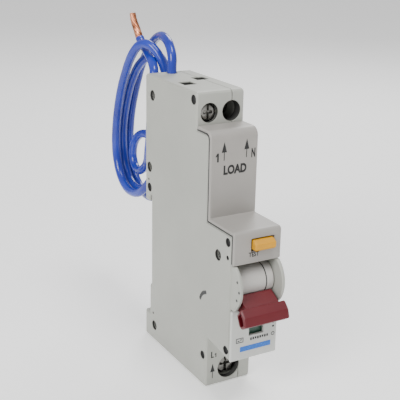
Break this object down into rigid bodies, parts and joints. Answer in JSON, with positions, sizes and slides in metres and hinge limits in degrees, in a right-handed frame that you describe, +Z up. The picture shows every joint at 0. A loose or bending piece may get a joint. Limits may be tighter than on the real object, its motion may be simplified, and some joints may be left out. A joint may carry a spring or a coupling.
{
  "type": "residual current device",
  "caption": "Single-module DIN-rail breaker with residual-current trip: riveted grey case, red toggle, yellow test button and coiled blue neutral lead.",
  "frame": {"origin": "centre of the DIN-rail seat on the back of the case", "axes": "+Z up as mounted, -Y towards the front with the toggle, +X to the right seen from the front"},
  "size_m": [0.0178, 0.1125, 0.119],
  "materials": {
    "case_plastic": "fine moulded grain, warm light grey",
    "cover_plastic": "fine moulded grain, slightly warmer light grey",
    "label_plastic": "smooth moulded, off-white grey",
    "toggle_red": "satin dark red",
    "drum_plastic": "satin light grey",
    "button_yellow": "satin amber yellow",
    "flag_green": "satin dark green",
    "inner_plastic": "matt dark grey",
    "plated_steel": "zinc plated",
    "brass": "bright",
    "copper": null,
    "board_green": "solder-masked laminate",
    "winding_epoxy": "epoxy coated",
    "ceramic_tan": "dipped ceramic",
    "lead_blue": "glossy PVC insulation",
    "wire_brown": "PVC insulation"
  },
  "bodies": {
    "housing": {"left_shell": "case_plastic", "right_shell": "case_plastic", "front_cover": "cover_plastic", "label_plate": "label_plastic", "case_rivet_1": "plated_steel", "case_rivet_2": "plated_steel", "case_rivet_3": "plated_steel", "case_rivet_4": "plated_steel", "toggle_pin": "plated_steel", "contact_pin": "plated_steel", "fixed_contact": "copper", "arc_runner": "copper", "arc_chute": "plated_steel", "trip_coil": "copper", "coil_core": "plated_steel", "coil_yoke": "plated_steel", "lever_pin": "plated_steel", "bimetal_strip": "brass", "calibration_screw": "brass", "flexible_braid": "copper", "load_terminal_bar": "brass", "neutral_terminal_bar": "brass", "line_terminal_bar": "brass", "sensing_toroid": "winding_epoxy", "line_conductor": "wire_brown", "neutral_conductor": "lead_blue", "circuit_board": "board_green", "board_capacitor": "inner_plastic", "board_varistor": "ceramic_tan", "board_chip": "inner_plastic", "test_resistor": "ceramic_tan", "relay_body": "inner_plastic", "test_contact": "brass", "clip_spring": "plated_steel", "neutral_lead": "lead_blue", "stripped_end": "copper"},
    "toggle": {"toggle_lever": "toggle_red", "toggle_drum": "drum_plastic", "reset_drum": "drum_plastic"},
    "crank_link": {"crank_link": "plated_steel"},
    "contact_arm": {"contact_arm": "copper"},
    "flag_indicator": {"flag_indicator": "flag_green"},
    "trip_lever": {"trip_lever": "inner_plastic"},
    "coil_plunger": {"coil_plunger": "plated_steel"},
    "relay_plunger": {"relay_plunger": "plated_steel"},
    "test_button": {"test_button": "button_yellow"},
    "rail_clip": {"rail_clip": "inner_plastic"},
    "load_screw": {"load_terminal_screw": "plated_steel"},
    "load_cage": {"load_terminal_cage": "plated_steel"},
    "neutral_screw": {"neutral_terminal_screw": "plated_steel"},
    "neutral_cage": {"neutral_terminal_cage": "plated_steel"},
    "line_screw": {"line_terminal_screw": "plated_steel"},
    "line_cage": {"line_terminal_cage": "plated_steel"}
  },
  "joints": [
    {"name": "toggle_swing", "type": "hinge", "parent": "housing", "child": "toggle", "pos_m": [0, -0.0521, 0.0035], "axis": [-1, 0, 0], "range_deg": [0, 74]},
    {"name": "crank_link_turn", "type": "hinge", "parent": "toggle", "child": "crank_link", "pos_m": [0, -0.05027, 0.00694], "axis": [-1, 0, 0], "range_deg": [-87, 0]},
    {"name": "contact_arm_turn", "type": "hinge", "parent": "housing", "child": "contact_arm", "pos_m": [0, -0.0345, -0.0103], "axis": [-1, 0, 0], "range_deg": [0, 12]},
    {"name": "flag_slide", "type": "slide", "parent": "housing", "child": "flag_indicator", "axis": [0, 0, -1], "range_m": [0, 0.0048]},
    {"name": "trip_lever_turn", "type": "hinge", "parent": "housing", "child": "trip_lever", "pos_m": [0, -0.0425, -0.0093], "axis": [1, 0, 0], "range_deg": [0, 8], "stiffness_Nm_per_rad": 0.02, "springref_deg": -5.73},
    {"name": "coil_plunger_slide", "type": "slide", "parent": "housing", "child": "coil_plunger", "axis": [0, -1, 0], "range_m": [0, 0.003], "stiffness_N_per_m": 60, "springref_m": -0.001},
    {"name": "relay_plunger_slide", "type": "slide", "parent": "housing", "child": "relay_plunger", "axis": [0, 0, -1], "range_m": [0, 0.002], "stiffness_N_per_m": 60, "springref_m": -0.001},
    {"name": "test_button_press", "type": "slide", "parent": "housing", "child": "test_button", "axis": [0, 1, 0], "range_m": [0, 0.0015], "stiffness_N_per_m": 400, "springref_m": -0.0005},
    {"name": "rail_clip_slide", "type": "slide", "parent": "housing", "child": "rail_clip", "axis": [0, 0, -1], "range_m": [0, 0.0045], "stiffness_N_per_m": 400, "springref_m": -0.002, "deforming": ["clip_spring"]},
    {"name": "load_screw_turn", "type": "hinge", "parent": "housing", "child": "load_screw", "pos_m": [-0.0042, -0.0255, 0.0548], "axis": [0, 1, 0], "range_deg": [0, 1980]},
    {"name": "load_cage_slide", "type": "slide", "parent": "housing", "child": "load_cage", "axis": [0, -1, 0], "range_m": [0, 0.0033]},
    {"name": "neutral_screw_turn", "type": "hinge", "parent": "housing", "child": "neutral_screw", "pos_m": [0.0041, -0.0255, 0.0548], "axis": [0, 1, 0], "range_deg": [0, 1980]},
    {"name": "neutral_cage_slide", "type": "slide", "parent": "housing", "child": "neutral_cage", "axis": [0, -1, 0], "range_m": [0, 0.0033]},
    {"name": "line_screw_turn", "type": "hinge", "parent": "housing", "child": "line_screw", "pos_m": [0.0002, -0.0255, -0.0333], "axis": [0, 1, 0], "range_deg": [0, 2160]},
    {"name": "line_cage_slide", "type": "slide", "parent": "housing", "child": "line_cage", "axis": [0, -1, 0], "range_m": [0, 0.0042]}
  ],
  "couplings": [
    {"joint": "crank_link_turn", "follows": "toggle_swing", "ratio": -1.1667},
    {"joint": "contact_arm_turn", "follows": "toggle_swing", "ratio": 0.1621},
    {"joint": "flag_slide", "follows": "toggle_swing", "m_per_rad": 0.003716},
    {"joint": "load_screw_turn", "follows": "load_cage_slide", "rad_per_m": 10472},
    {"joint": "neutral_screw_turn", "follows": "neutral_cage_slide", "rad_per_m": 10472},
    {"joint": "line_screw_turn", "follows": "line_cage_slide", "rad_per_m": 8975.9}
  ]
}
